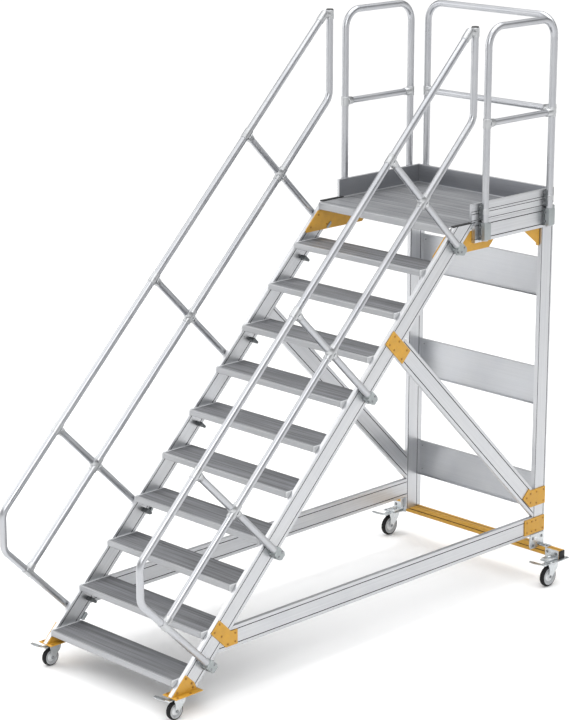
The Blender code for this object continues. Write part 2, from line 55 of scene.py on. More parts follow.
FRAME_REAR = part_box("side_frame_right")[1].y + MID
TOE_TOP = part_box("toe_board_rear")[1].z
TOE_LINES = (2.3025, 2.3385, 2.3535)  # heights of the toe boards' grooves
TREAD_DEPTH = 0.218
TREAD_CAP = 0.0128  # room for an end cap between a tread and a stringer
TREAD_WALL = 0.0035
EASE = 0.0012  # how far a tube's ends are turned in
RAIL_X = 0.552
GUARD_X = 0.545
GUARD_Y = (2.348, 2.914)
GUARD_BACK_X = 0.482
GUARD_BACK_Y = 2.996
GUARD_TOP = 3.376
KNEE_Z = 2.845
TUBE_R = 0.020
HAND_P = -0.695  # handrail and mid rail, square to the slope from the nose line
MID_P = -0.320
STATIONS = (0.18, 0.88, 1.885, 2.895)  # rail posts along the slope
FOOT_Y = -0.258
TOP_Y = 2.222
POST_Y = (2.882, 2.982, 3.010)
BEAM_Y = (2.955, 3.005)
BEAM_Z = (0.155, 0.205)
BEAM_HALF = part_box("outrigger_beam")[1].x - 0.018
PLATE = (OUTER + GAP, OUTER + 0.0063)
# x and y of the axle, wheel radius, swivel's offset behind the axle, height of the head's top
CASTORS = {"front": (0.507, 0.002, 0.050, 0.034, 0.1215), "rear": (0.645, 2.884, 0.0625, 0.042, 0.1485)}
FORK_LEG = 0.0195  # from a wheel's middle to the inside of its fork
C45 = math.sqrt(0.5)
X = Vector((1, 0, 0))
Y = Vector((0, 1, 0))
Z = Vector((0, 0, 1))
SLOPE = Vector((0, C45, C45))
DOWN = Vector((0, C45, -C45))
SIDES = (("left", -1), ("right", 1))


def at(x, y, z):
    return Vector((x, y - MID, z))


def on_slope(x, along, perp):
    """Point given along the nose line and square to it, where perp grows downwards and to the rear."""
    return at(x, (along + perp) * C45, (along - perp) * C45 + RISE)


def slope_yz(along, perp):
    point = on_slope(0, along, perp)
    return (point.y + MID, point.z)


def slope_outline(pairs, along=0.0):
    return [slope_yz(along + a, p) for a, p in pairs]


# ---------------------------------------------------------------- materials

TURNS = {"x": (0, 0, math.pi / 2), "y": (0, 0, 0), "z": (math.pi / 2, 0, 0),
         "slope": (-math.pi / 4, 0, 0), "brace": (math.pi / 4, 0, 0)}


class Nodes:
    """Small helper that adds and links nodes of one material."""

    def __init__(self, name, metallic, roughness, specular=0.5):
        self.mat = bpy.data.materials.new(name)
        self.mat.use_nodes = True
        self.tree = self.mat.node_tree
        self.shader = self.tree.nodes["Principled BSDF"]
        self.shader.inputs["Metallic"].default_value = metallic
        self.shader.inputs["Roughness"].default_value = roughness
        self.shader.inputs["Specular IOR Level"].default_value = specular
        self.coord = self.add("ShaderNodeTexCoord").outputs["Object"]

    def add(self, kind, **values):
        node = self.tree.nodes.new(kind)
        for key, value in values.items():
            setattr(node, key, value)
        return node

    def link(self, a, b):
        self.tree.links.new(a, b)

    def mapped(self, source, scale=(1, 1, 1), rotation=(0, 0, 0)):
        node = self.add("ShaderNodeMapping")
        node.inputs["Scale"].default_value = scale
        node.inputs["Rotation"].default_value = rotation
        self.link(source, node.inputs["Vector"])
        return node.outputs["Vector"]

    def noise(self, vector, scale, detail=3.0, rough=0.55):
        node = self.add("ShaderNodeTexNoise")
        node.inputs["Scale"].default_value = scale
        node.inputs["Detail"].default_value = detail
        node.inputs["Roughness"].default_value = rough
        self.link(vector, node.inputs["Vector"])
        return node.outputs["Fac"]

    def ramp(self, fac, colours, places):
        node = self.add("ShaderNodeValToRGB")
        ramp = node.color_ramp
        for i, (colour, place) in enumerate(zip(colours, places)):
            stop = ramp.elements[i] if i < 2 else ramp.elements.new(place)
            stop.position = place
            stop.color = (*colour, 1)
        self.link(fac, node.inputs["Fac"])
        return node.outputs["Color"]

    def spread(self, fac, low, high):
        node = self.add("ShaderNodeMapRange")
        node.inputs["From Min"].default_value = 0.3
        node.inputs["From Max"].default_value = 0.7
        node.inputs["To Min"].default_value = low
        node.inputs["To Max"].default_value = high
        self.link(fac, node.inputs["Value"])
        return node.outputs["Result"]

    def mix(self, fac, a, b, blend="MIX"):
        node = self.add("ShaderNodeMix", data_type="RGBA", blend_type=blend)
        if isinstance(fac, float):
            node.inputs["Factor"].default_value = fac
        else:
            self.link(fac, node.inputs["Factor"])
        for socket, value in ((node.inputs[6], a), (node.inputs[7], b)):
            if isinstance(value, tuple):
                socket.default_value = (*value, 1)
            else:
                self.link(value, socket)
        return node.outputs[2]

    def bump(self, height, strength, distance, before=None):
        node = self.add("ShaderNodeBump")
        node.inputs["Strength"].default_value = strength
        node.inputs["Distance"].default_value = distance
        self.link(height, node.inputs["Height"])
        if before is not None:
            self.link(before, node.inputs["Normal"])
        return node.outputs["Normal"]

    def out(self, colour=None, roughness=None, normal=None):
        for socket, value in (("Base Color", colour), ("Roughness", roughness), ("Normal", normal)):
            if value is not None:
                self.link(value, self.shader.inputs[socket])
        return self.mat


def scaled(colour, factor):
    return tuple(min(1.0, c * factor) for c in colour)


def extruded(name, colour, axis, roughness=0.34, metallic=0.9, contrast=0.06, density=260,
             relief=0.10):
    """Mill-finish aluminium with die lines that run along the bar, handling marks and a dull bloom."""
    n = Nodes(name, metallic, roughness)
    turned = n.mapped(n.coord, rotation=TURNS[axis])
    lines = n.noise(n.mapped(turned, scale=(density, 1.4, density)), 1.0, 2.0)
    fine = n.noise(n.mapped(turned, scale=(900, 9, 900)), 1.0, 1.0)
    bloom = n.noise(n.coord, 5.5, 4.0)
    base = n.ramp(lines, (scaled(colour, 1 - contrast), scaled(colour, 1 + contrast)), (0.32, 0.68))
    shade = n.ramp(bloom, ((0.93, 0.935, 0.95), (1.0, 1.0, 1.0)), (0.35, 0.65))
    colour_out = n.mix(1.0, base, shade, "MULTIPLY")
    rough = n.spread(bloom, roughness - 0.05, roughness + 0.08)
    normal = n.bump(lines, relief, 0.0003, n.bump(fine, relief * 0.6, 0.0001))
    return n.out(colour_out, rough, normal)


def coated(name, colour, roughness=0.42):
    """Powder coat: orange-peel skin, faint mottling and rubbed, slightly darker patches."""
    n = Nodes(name, 0.0, roughness)
    peel = n.noise(n.coord, 700.0, 2.0)
    mottle = n.noise(n.coord, 26.0, 5.0, 0.6)
    rubbed = n.noise(n.coord, 9.0, 6.0, 0.7)
    base = n.ramp(mottle, (scaled(colour, 0.90), colour, scaled(colour, 1.07)), (0.3, 0.5, 0.72))
    base = n.mix(n.spread(rubbed, 0.0, 0.22), base, scaled(colour, 0.72))
    return n.out(base, n.spread(mottle, roughness - 0.06, roughness + 0.12), n.bump(peel, 0.16, 0.0004))


def cast(name, colour, roughness=0.45, metallic=0.75):
    """Tumbled die casting with a pebbled skin."""
    n = Nodes(name, metallic, roughness)
    grain = n.noise(n.coord, 420.0, 3.0)
    cloud = n.noise(n.coord, 30.0, 4.0)
    base = n.ramp(cloud, (scaled(colour, 0.86), colour, scaled(colour, 1.08)), (0.28, 0.5, 0.75))
    return n.out(base, n.spread(cloud, roughness - 0.08, roughness + 0.1), n.bump(grain, 0.22, 0.0004))


def galvanised(name, colour, roughness=0.3):
    """Zinc-plated steel with a soft crystal pattern and rolling marks."""
    n = Nodes(name, 0.95, roughness)
    cells = n.add("ShaderNodeTexVoronoi")
    cells.inputs["Scale"].default_value = 160.0
    n.link(n.coord, cells.inputs["Vector"])
    cloud = n.noise(n.coord, 60.0, 4.0)
    base = n.ramp(cells.outputs["Distance"], (scaled(colour, 0.90), scaled(colour, 1.06)), (0.1, 0.75))
    base = n.mix(n.spread(cloud, 0.0, 0.35), base, scaled(colour, 0.80))
    return n.out(base, n.spread(cloud, roughness - 0.08, roughness + 0.14), n.bump(cloud, 0.12, 0.0003))


def moulded(name, colour, roughness=0.5, grain_scale=520.0, depth=0.25, dusty=0.03):
    """Moulded plastic or rubber with a fine grain and dusty high spots."""
    n = Nodes(name, 0.0, roughness, 0.3)
    grain = n.noise(n.coord, grain_scale, 3.0)
    dust = n.noise(n.coord, 38.0, 5.0, 0.65)
    base = n.ramp(dust, (colour, scaled(colour, 1.25), tuple(c + dusty for c in colour)), (0.35, 0.6, 0.8))
    return n.out(base, n.spread(dust, roughness - 0.08, roughness + 0.14), n.bump(grain, depth, 0.0004))


LIGHT = (0.56, 0.567, 0.58)
MATS = {axis: extruded("aluminium_" + axis, LIGHT, axis) for axis in TURNS}
MATS["tube"] = extruded("aluminium_tube", (0.47, 0.478, 0.495), "y", 0.31, 1.0, 0.02, 260, 0.004)
MATS["sheet"] = extruded("aluminium_sheet", (0.52, 0.53, 0.545), "x", 0.36, 0.9, 0.03)
MATS["tread"] = extruded("tread_top", (0.21, 0.214, 0.224), "x", 0.46, 0.7, 0.30, 70)
MATS["nose"] = extruded("tread_edge", (0.40, 0.405, 0.415), "x", 0.38, 0.85, 0.05)
MATS["plank"] = extruded("plank_top", (0.27, 0.275, 0.285), "x", 0.44, 0.75, 0.24, 70)
MATS["inner"] = extruded("toe_board_inner", (0.27, 0.277, 0.295), "x", 0.42, 0.7, 0.06)
MATS["gap"] = extruded("groove_shade", (0.025, 0.025, 0.03), "y", 0.7, 0.0, 0.1)
MATS["ochre"] = coated("ochre_coat", (0.56, 0.295, 0.026))
MATS["ochre_bolt"] = coated("ochre_bolt", (0.36, 0.17, 0.015), 0.35)
# Near-black ochre for the beam's groove faces: painted shade in the grooves, not a colour of the coat.
MATS["ochre_shade"] = coated("ochre_groove_shade", (0.16, 0.075, 0.01), 0.6)
MATS["cast"] = cast("clamp_casting", (0.34, 0.365, 0.37))
MATS["dark_cast"] = cast("bracket_casting", (0.13, 0.14, 0.145), 0.5, 0.6)
MATS["joint"] = cast("joint_casting", (0.48, 0.49, 0.50), 0.34, 0.95)
MATS["zinc"] = galvanised("zinc_plate", (0.60, 0.625, 0.64))
MATS["bolt"] = galvanised("bolt_steel", (0.30, 0.31, 0.32), 0.24)
MATS["cap"] = moulded("black_cap", (0.008, 0.008, 0.009), 0.45, 520.0, 0.25, 0.012)
MATS["end"] = moulded("tread_end_cap", (0.42, 0.43, 0.44), 0.5)
MATS["tyre"] = moulded("tyre_rubber", (0.006, 0.006, 0.0065), 0.72, 900.0, 0.35, 0.012)
MATS["wheel"] = moulded("wheel_centre", (0.60, 0.61, 0.62), 0.38)
MATS["rim"] = moulded("wheel_rim", (0.36, 0.37, 0.38), 0.42)


# ---------------------------------------------------------------- mesh code

def piece(name, bm, mats, body, replaced=(), sharp=32):
    """Makes a named, smooth-shaded piece that rides on a body and may stand for CAD nodes."""
    bmesh.ops.remove_doubles(bm, verts=bm.verts, dist=1e-6)
    bmesh.ops.recalc_face_normals(bm, faces=bm.faces)
    mesh = bpy.data.meshes.new(name)
    bm.to_mesh(mesh)
    bm.free()
    for mat in mats:
        mesh.materials.append(MATS[mat])
    for face in mesh.polygons:
        face.use_smooth = True
    mesh.set_sharp_from_angle(angle=math.radians(sharp))
    obj = bpy.data.objects.new(name, mesh)
    bpy.context.scene.collection.objects.link(obj)
    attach(obj, body)
    if replaced:
        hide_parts(*replaced)


def fitting(name, bm, mat, sharp=32):
    piece(name, bm, (mat,), "frame", sharp=sharp)


def slide_to(point, direction, plane):
    origin, normal = plane
    return point + direction * ((origin - point).dot(normal) / direction.dot(normal))


def fill(bm, ring):
    edges = [bm.edges.get(pair) for pair in zip(ring, ring[1:] + ring[:1])]
    bmesh.ops.triangle_fill(bm, edges=edges, use_beauty=True)


def bar(bm, loop, direction, start, end, mats=None):
    """Runs a closed loop of points between two planes. mats gives a material index per side face."""
    first, last = [[bm.verts.new(slide_to(p, direction, plane)) for p in loop] for plane in (start, end)]
    count = len(loop)
    for i in range(count):
        j = (i + 1) % count
        face = bm.faces.new((first[i], first[j], last[j], last[i]))
        face.material_index = mats[i] if mats else 0
    fill(bm, first)
    fill(bm, last)


def rounded(points, radius, steps=3):
    """Rounds the corners of a closed 2-D outline. radius is one number or one per corner."""
    out = []
    count = len(points)
    for i, corner in enumerate(points):
        r = radius[i] if isinstance(radius, (list, tuple)) else radius
        c = Vector(corner)
        a = (Vector(points[i - 1]) - c)
        b = (Vector(points[(i + 1) % count]) - c)
        if r <= 0 or a.length < 1e-7 or b.length < 1e-7:
            out.append(tuple(c))
            continue
        half = a.angle(b) / 2
        reach = min(r / math.tan(half), a.length * 0.49, b.length * 0.49)
        r = reach * math.tan(half)
        p, q = c + a.normalized() * reach, c + b.normalized() * reach
        for k in range(steps + 1):
            t = k / steps
            out.append(tuple((1 - t) ** 2 * p + 2 * t * (1 - t) * c + t * t * q))
    return out


def notches(x, depth, places, half):
    """Groove corners along one wide face, as (u, v, mark). half is negative where v runs down."""
    points = []
    for g in places:
        a, b = g - half, g + half
        points += [(x, a, 0), (x + depth, a, 1), (x + depth, b, 1), (x, b, 1)]
    return points


def soft_corner(x, y, start, end, radius):
    """Rounded corner at x, y, from the direction of start to the direction of end."""
    points = []
    for k in range(4):
        t = k / 3
        near, far = (1 - t) ** 2, t * t
        points.append((x + radius * (near * start[0] + far * end[0]),
                       y + radius * (near * start[1] + far * end[1]), 0))
    return points


def grooved(u, v, grooves, faces=(0, 1), radius=0.0022, width=0.0048, depth=0.0055):
    """Section of a flat bar: u is its thickness, v its width, with grooves cut in the wide faces.
    Returns the outline and, for each of its sides, 1 where that side is inside a groove."""
    low, high = u
    lo, hi = v
    rising = sorted(grooves)
    points = soft_corner(high, lo, (-1, 0), (0, 1), radius)
    if 1 in faces:
        points += notches(high, -depth, rising, width / 2)
    points += soft_corner(high, hi, (0, -1), (-1, 0), radius)
    points += soft_corner(low, hi, (1, 0), (0, -1), radius)
    if 0 in faces:
        points += notches(low, depth, rising[::-1], -width / 2)
    points += soft_corner(low, lo, (0, 1), (1, 0), radius)
    sides = []
    for a, b in zip(points, points[1:] + points[:1]):
        sides.append(1 if b[2] and (a[2] or is_start(a, b)) else 0)
    return [(x, y) for x, y, _ in points], sides


def is_start(a, b):
    """True where a side goes straight into a groove."""
    return abs(a[1] - b[1]) < 1e-9 and abs(a[0] - b[0]) > 1e-4


def extrusion(name, make, u, v, grooves, direction, ends, mats, replaced):
    outline, sides = grooved(u, v, grooves)
    bm = bmesh.new()
    bar(bm, [make(a, b) for a, b in outline], direction, ends[0], ends[1], sides)
    piece(name, bm, mats, "frame", replaced)


def block(bm, x, y, z, bevel=0.0015, segments=2):
    """Box between corners in the shared frame, with rounded edges."""
    made = bmesh.ops.create_cube(bm, size=1.0)["verts"]
    for vert in made:
        u, v, w = (c + 0.5 for c in vert.co)
        vert.co = at(x[0] + u * (x[1] - x[0]), y[0] + v * (y[1] - y[0]), z[0] + w * (z[1] - z[0]))
    edges = list({e for vert in made for e in vert.link_edges})
    bmesh.ops.bevel(bm, geom=edges, offset=bevel, segments=segments, affect="EDGES", profile=0.5)


def plate(bm, outline, x, corner=0.003, edge=0.0006):
    """Sheet with an outline of (y, z) points, rounded corners and eased edges, between two x values."""
    loop = [Vector(point) for point in rounded(outline, corner)]
    centre = Vector((sum(p.x for p in loop) / len(loop), sum(p.y for p in loop) / len(loop)))
    layers = []
    for level_x, inset in ((x[0], edge), (x[0] + edge, 0), (x[1] - edge, 0), (x[1], edge)):
        eased = [p - (p - centre).normalized() * inset for p in loop]
        layers.append([bm.verts.new(at(level_x, p.x, p.y)) for p in eased])
    for lower, upper in zip(layers, layers[1:]):
        for i in range(len(loop)):
            j = (i + 1) % len(loop)
            bm.faces.new((lower[i], lower[j], upper[j], upper[i]))
    fill(bm, layers[0])
    fill(bm, layers[-1])


def rounded_path(points, radius, steps=10):
    path = [points[0]]
    for before, corner, after in zip(points, points[1:], points[2:]):
        a = (before - corner).normalized()
        b = (after - corner).normalized()
        half = a.angle(b) / 2
        reach = radius / math.tan(half)
        centre = corner + (a + b).normalized() * (radius / math.sin(half))
        start = (corner + a * reach - centre).normalized()
        end = (corner + b * reach - centre).normalized()
        for i in range(steps + 1):
            path.append(centre + start.slerp(end, i / steps) * radius)
    path.append(points[-1])
    return path


def sweep(bm, path, radius, side=X, sides=28):
    """Round tube along a path that stays square to side, with turned-in ends."""
    last = len(path) - 1
    stations = [(0, EASE, 0), (0, 0, EASE)]
    stations += [(i, 0, 0) for i in range(1, last)]
    stations += [(last, 0, -EASE), (last, EASE, 0)]
    rings = []
    for i, inset, shift in stations:
        ahead = (path[min(i + 1, last)] - path[min(i, last - 1)]).normalized()
        behind = (path[max(i, 1)] - path[max(i - 1, 0)]).normalized()
        tangent = (ahead + behind).normalized()
        up = side.cross(tangent) / max(0.5, tangent.dot(ahead))
        centre = path[i] + tangent * shift
        r = radius - inset
        turns = [2 * math.pi * (k + 0.5) / sides for k in range(sides)]
        rings.append([bm.verts.new(centre + side * math.cos(t) * r + up * math.sin(t) * r) for t in turns])
    for a, b in zip(rings, rings[1:]):
        for k in range(sides):
            j = (k + 1) % sides
            bm.faces.new((a[k], a[j], b[j], b[k]))
    bm.faces.new(rings[0])
    bm.faces.new(rings[-1])


def spun(bm, profile, centre, axis, steps):
    """Rows of vertices from (radius, height) points turned about axis through centre."""
    side = axis.orthogonal().normalized()
    other = axis.cross(side)
    rows = []
    for k in range(steps):
        turn = 2 * math.pi * k / steps
        way = side * math.cos(turn) + other * math.sin(turn)
        rows.append([bm.verts.new(centre + way * r + axis * h) for r, h in profile])
    return rows


def turned(bm, profile, centre, axis, steps=28):
    """Open profile turned about axis, with both ends closed."""
    rows = spun(bm, profile, centre, axis, steps)
    for a, b in zip(rows, rows[1:] + rows[:1]):
        for i in range(len(profile) - 1):
            bm.faces.new((a[i], a[i + 1], b[i + 1], b[i]))
    for i in (0, -1):
        bm.faces.new([row[i] for row in rows])


def turned_ring(bm, profile, centre, axis, steps, marks):
    """Closed profile turned about axis, with a material index for each of its sides."""
    rows = spun(bm, profile, centre, axis, steps)
    for a, b in zip(rows, rows[1:] + rows[:1]):
        for i, mark in enumerate(marks):
            j = (i + 1) % len(profile)
            bm.faces.new((a[i], a[j], b[j], b[i])).material_index = mark


def sleeve(bm, a, b, r0, r1=None):
    """Fitting barrel from a to b with eased ends."""
    r1 = r0 if r1 is None else r1
    axis = b - a
    length = axis.length
    e = 0.0015
    turned(bm, [(r0 - e, 0), (r0, e), (r1, length - e), (r1 - e, length)], a, axis.normalized())


def bolt(bm, point, axis, size=0.006, height=None):
    """Hex head with a chamfered top on a washer."""
    axis = axis.normalized()
    height = height or size * 0.75
    base = 0.0012
    washer = [(size * 1.55, -0.0008), (size * 1.55, 0.001), (size * 1.45, 0.0014)]
    head = [(size * 0.98, base), (size, base + height * 0.78), (size * 0.84, base + height)]
    turned(bm, washer, point, axis, 20)
    turned(bm, head, point, axis, 6)


def rivet(bm, point, axis, size=0.004):
    dome = [(size, -0.0005), (size * 0.9, size * 0.35), (size * 0.55, size * 0.62), (size * 0.1, size * 0.7)]
    turned(bm, dome, point, axis.normalized(), 16)


def level(z):
    return (Vector((0, 0, z)), Z)


def across(y):
    return (at(0, y, 0), Y)


def along_x(x):
    return (Vector((x, 0, 0)), X)


def span(sign, near, far):
    return tuple(sorted((sign * near, sign * far)))


# ---------------------------------------------------------------- stair

def tread_outline(y0, top, depth, height, ribs, pitch, rib_start, nose=0.006):
    """Ribbed tread section as (y, z) points, and a mark of 1 on each side that belongs to the ribbed top."""
    points = [(y0, top - height + 0.003), (y0, top - nose)]
    for k in range(1, 5):
        t = k / 4 * math.pi / 2
        points.append((y0 + nose * (1 - math.cos(t)), top - nose * (1 - math.sin(t))))
    marks = [0] * len(points)
    y = y0 + rib_start
    for _ in range(ribs):
        points += [(y, top), (y + 0.0012, top - 0.0016), (y + 0.0032, top - 0.0016), (y + 0.0044, top)]
        marks += [1] * 4
        y += pitch
    rear = y0 + depth
    low = top - height
    wall = TREAD_WALL
    points += [(rear - 0.002, top), (rear, top - 0.002), (rear, low), (rear - 0.022, low),
               (rear - 0.022, low + wall), (rear - wall, low + wall), (rear - wall, top - wall),
               (y0 + wall, top - wall), (y0 + wall, low + wall), (y0 + 0.022, low + wall),
               (y0 + 0.022, low), (y0 + 0.003, low)]
    marks += [0] * 12
    return points, marks


def cross_bar(bm, points, half, marks=None):
    """Section of (y, z) points run from side to side."""
    bar(bm, [at(-half, y, z) for y, z in points], X, along_x(-half), along_x(half), marks)


def step_end(caps, screws, sign, y0, top):
    front, rear = y0 - 0.0002, y0 + TREAD_DEPTH + 0.0002
    low, high = top - 0.0345, top + 0.0002
    outline = [(front, low), (front, high), (rear, high), (rear, low)]
    plate(caps, outline, span(sign, HALF - TREAD_CAP, HALF - 0.0004), [0.004, 0.009, 0.004, 0.003], 0.0025)
    ear = span(sign, HALF - 0.020, HALF - 0.0004)
    block(caps, ear, (y0 + 0.050, y0 + 0.165), (top - 0.050, top - 0.030), 0.002)
    for dy in (0.075, 0.140):
        bolt(screws, at(sign * (HALF - 0.020), y0 + dy, top - 0.041), X * -sign, 0.0045, height=0.004)


def step_hooks(i):
    """Hooks on both stringers below every second tread."""
    hooks = bmesh.new()
    outline = slope_outline([(-0.014, 0.100), (0.012, 0.100), (0.012, 0.146), (-0.002, 0.146)],
                            i * RISE / C45 - 0.024)
    for _, sign in SIDES:
        plate(hooks, outline, span(sign, HALF - 0.044, HALF - 0.0008), 0.004, 0.002)
    fitting("step_hooks_%02d" % (i + 1), hooks, "dark_cast")


def stair():
    for i in range(10):
        y0, top = i * RISE, (i + 1) * RISE
        number = "%02d" % (i + 1)
        points, marks = tread_outline(y0, top, TREAD_DEPTH, 0.034, 17, 0.0118, 0.014)
        bm = bmesh.new()
        cross_bar(bm, points, HALF - TREAD_CAP, marks)
        piece("step_" + number, bm, ("nose", "tread"), "frame", ["tread_" + number])
        caps, screws = bmesh.new(), bmesh.new()
        for _, sign in SIDES:
            step_end(caps, screws, sign, y0, top)
        if i % 2:
            step_hooks(i)
        fitting("step_ends_" + number, caps, "end")
        fitting("step_bolts_" + number, screws, "bolt")


def stringers():
    top = DECK_TOP - 0.001
    ends = (level(0.1343), level(DECK_TOP - 0.0005))
    for tag, sign in SIDES:
        x = span(sign, HALF, OUTER)
        extrusion("stringer_bar_" + tag, lambda a, p: on_slope(a, 0, p), x, (0.029, 0.149), (0.047, 0.127),
                  SLOPE, ends, ("slope", "gap"), ["stringer_" + tag])
        bm = bmesh.new()
        block(bm, span(sign, HALF - 0.001, OUTER + 0.001), (2.116, 2.294), (top, top + 0.0055), 0.0015)
        fitting("stringer_cap_" + tag, bm, "cap")


def plank(number, front, rear):
    """Deck plank; the first one is deeper and has the nosing."""
    start, height, nose = (0.014, 0.043, 0.006) if number == 1 else (0.007, 0.030, 0.002)
    width = rear - front - 0.0012
    count = int((width - 0.020) / 0.0125)
    pitch = (width - start - 0.008) / count
    points, marks = tread_outline(front, DECK_TOP, width, height, count, pitch, start, nose)
    bm = bmesh.new()
    cross_bar(bm, points, HALF - 0.0006, marks)
    replaced = ["deck"] if number == 1 else ()
    piece("plank_%d" % number, bm, ("nose", "plank"), "frame", replaced)


def deck():
    seams = (2.080, 2.315, 2.526, 2.737, FRAME_REAR - 0.0253)
    for k, (front, rear) in enumerate(zip(seams, seams[1:])):
        plank(k + 1, front, rear)


def toe_section(u, outside, inner):
    """Toe board section with three lines outside, and a mark of 2 on its plain dark inner face."""
    outline, sides = grooved(u, (FRAME_TOP + GAP, TOE_TOP), TOE_LINES, (outside,), 0.0015, 0.0034, 0.004)
    marks = []
    for a, b, side in zip(outline, outline[1:] + outline[:1], sides):
        marks.append(2 if abs(a[0] - inner) < 1e-6 and abs(b[0] - inner) < 1e-6 else side)
    return outline, marks


def platform_frame():
    z = (FRAME_LOW, FRAME_TOP)
    grooves = (FRAME_LOW + 0.021, FRAME_TOP - 0.021)
    thick = HALF + 0.0085
    for tag, sign in SIDES:
        extrusion("frame_bar_" + tag, lambda a, b: at(a, 0, b), span(sign, HALF, OUTER), z, grooves, Y,
                  (across(2.2925), across(FRAME_REAR)), ("y", "gap"), ["side_frame_" + tag])
        outline, marks = toe_section(span(sign, thick, OUTER), 1 if sign > 0 else 0, sign * thick)
        bm = bmesh.new()
        bar(bm, [at(a, 0, b) for a, b in outline], Y, across(2.262), across(FRAME_REAR), marks)
        piece("toe_bar_" + tag, bm, ("y", "gap", "inner"), "frame", ["toe_board_" + tag])
    extrusion("frame_bar_rear", lambda a, b: at(0, a, b), (FRAME_REAR - 0.025, FRAME_REAR), z, grooves, X,
              (along_x(-HALF + GAP), along_x(HALF - GAP)), ("x", "gap"), ["rear_frame"])
    inner = FRAME_REAR - 0.0165
    outline, marks = toe_section((inner, FRAME_REAR), 1, inner)
    bm = bmesh.new()
    cross_bar(bm, outline, HALF + 0.008, marks)
    piece("toe_bar_rear", bm, ("x", "gap", "inner"), "frame", ["toe_board_rear"])


# ---------------------------------------------------------------- rear frame

def post_section(sign):
    """Rear post with two grooves on each wide face and a lip behind, as (x, y, mark)."""
    near, far, lip = sign * HALF, sign * OUTER, sign * (HALF + 0.006)
    depth, half = sign * 0.0045, 0.0045 / 2
    lines = (2.8875, 2.9735)
    points = [(near, POST_Y[0], 0), (far, POST_Y[0], 0)]
    for y in lines:
        points += [(far, y - half, 1), (far - depth, y - half, 1), (far - depth, y + half, 1),
                   (far, y + half, 0)]
    points += [(far, POST_Y[1], 0), (lip, POST_Y[1], 0), (lip, POST_Y[2], 0), (near, POST_Y[2], 0)]
    for y in lines[::-1]:
        points += [(near, y + half, 1), (near + depth, y + half, 1), (near + depth, y - half, 1),
                   (near, y - half, 0)]
    return points


def cross_panel(tag):
    low, high = (corner.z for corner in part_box("cross_panel_" + tag))
    front, rear, t = POST_Y[1] + 0.001, 3.003, 0.0018
    outline = [(front, low), (rear, low), (rear, high), (front, high)]
    outline += [(front, high - t), (rear - t, high - t), (rear - t, low + t), (front, low + t)]
    half = HALF - 0.0008
    bm = bmesh.new()
    cross_bar(bm, rounded(outline, [0, 0.003, 0.003, 0, 0, 0.001, 0.001, 0]), half)
    piece("panel_sheet_" + tag, bm, ("sheet",), "frame", ["cross_panel_" + tag])
    rivets = bmesh.new()
    for _, sign in SIDES:
        for z in (low + 0.035, high - 0.035):
            rivet(rivets, at(sign * (half - 0.018), rear - t, z), -Y, 0.0045)
    fitting("panel_rivets_" + tag, rivets, "bolt")


def rear_frame():
    mid = (3.3675 - RISE) * C45  # middle of the braces, along the slope
    ends = ((on_slope(0, 0, 0.1493), DOWN), across(POST_Y[0] - GAP))
    for tag, sign in SIDES:
        x = span(sign, HALF, OUTER)
        extrusion("brace_bar_" + tag, lambda a, s: on_slope(a, s, 0), x, (mid - 0.060, mid + 0.060),
                  (mid - 0.040, mid + 0.040), DOWN, ends, ("brace", "gap"), ["brace_" + tag])
        extrusion("rail_bar_" + tag, lambda a, z: at(a, 0.4, z), x, (0.286, 0.406), (0.307, 0.385), Y,
                  ends, ("y", "gap"), ["bottom_rail_" + tag])
        points = post_section(sign)
        bm = bmesh.new()
        bar(bm, [at(a, b, 0) for a, b, _ in points], Z, level(BEAM_Z[1] + GAP), level(FRAME_LOW - GAP),
            [mark for _, _, mark in points])
        piece("post_bar_" + tag, bm, ("z", "gap"), "frame", ["rear_post_" + tag])
    for tag in ("lower", "middle", "upper"):
        cross_panel(tag)


def gusset(name, outline, x, bolts, sign, replaced=()):
    bm = bmesh.new()
    plate(bm, outline, x, 0.004, 0.0007)
    piece(name, bm, ("ochre",), "frame", replaced)
    screws = bmesh.new()
    face = x[1] if sign > 0 else x[0]
    size = 0.0042
    for y, z in bolts:
        bolt(screws, at(face, y, z), X * sign, size, height=size * 0.7)
    fitting(name + "_bolts", screws, "ochre_bolt")


def knee_bracket(tag, sign):
    under, front = FRAME_LOW - 0.001, POST_Y[0] - 0.0005
    thin = 0.0040
    knee = bmesh.new()
    web = span(sign, HALF + 0.006, HALF + 0.010)
    plate(knee, [(2.742, under), (front, 2.064), (front, under)], web, 0.003, 0.0005)
    flange = span(sign, HALF - 0.012, HALF + 0.010)
    high, rear = FRAME_LOW - 0.0006, POST_Y[0] - 0.0006
    block(knee, flange, (2.742, front), (high - thin, high), 0.0008)
    block(knee, flange, (rear - thin, rear), (2.064, FRAME_LOW - 0.0012), 0.0008)
    fitting("knee_bracket_" + tag, knee, "ochre")


def grid(ys, zs):
    return [(y, z) for y in ys for z in zs]


